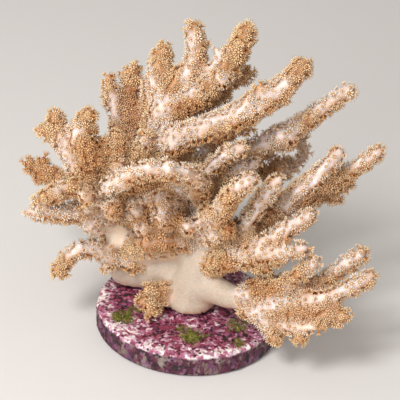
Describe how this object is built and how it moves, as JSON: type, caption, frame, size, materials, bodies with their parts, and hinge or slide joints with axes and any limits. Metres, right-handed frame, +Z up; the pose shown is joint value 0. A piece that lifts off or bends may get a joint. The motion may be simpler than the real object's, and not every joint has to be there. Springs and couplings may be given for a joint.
{
  "type": "colt coral",
  "caption": "Bushy soft coral colony with a smooth stalk and polyp-covered fingers, grown on a round frag disc that stands on its flat underside.",
  "frame": {"origin": "centre of the frag disc's flat underside", "axes": "+Z up out of the disc, +X to the right of the picture's viewer, -Y towards that viewer"},
  "size_m": [0.0976, 0.0637, 0.0846],
  "materials": {
    "crusted_ceramic": "rough, overgrown with coralline crust",
    "stalk_flesh": "smooth, soft and moist",
    "polyp_flesh": "soft, covered in feathery polyps"
  },
  "bodies": {
    "root": {"frag_disc": "crusted_ceramic", "stalk": "stalk_flesh", "foot_bud": "polyp_flesh", "right_low_branch": "polyp_flesh", "right_middle_branch": "polyp_flesh", "right_high_branch": "polyp_flesh", "front_right_branch": "polyp_flesh", "crown_right_branch": "polyp_flesh", "crown_branch": "polyp_flesh", "top_branch": "polyp_flesh", "top_left_branch": "polyp_flesh", "middle_left_branch": "polyp_flesh", "left_high_branch": "polyp_flesh", "left_branch": "polyp_flesh", "left_low_branch": "polyp_flesh", "back_left_branch": "polyp_flesh", "front_arch": "polyp_flesh", "front_branch": "polyp_flesh", "back_branch": "polyp_flesh", "back_low_branch": "polyp_flesh", "back_left_low_branch": "polyp_flesh"}
  },
  "joints": []
}
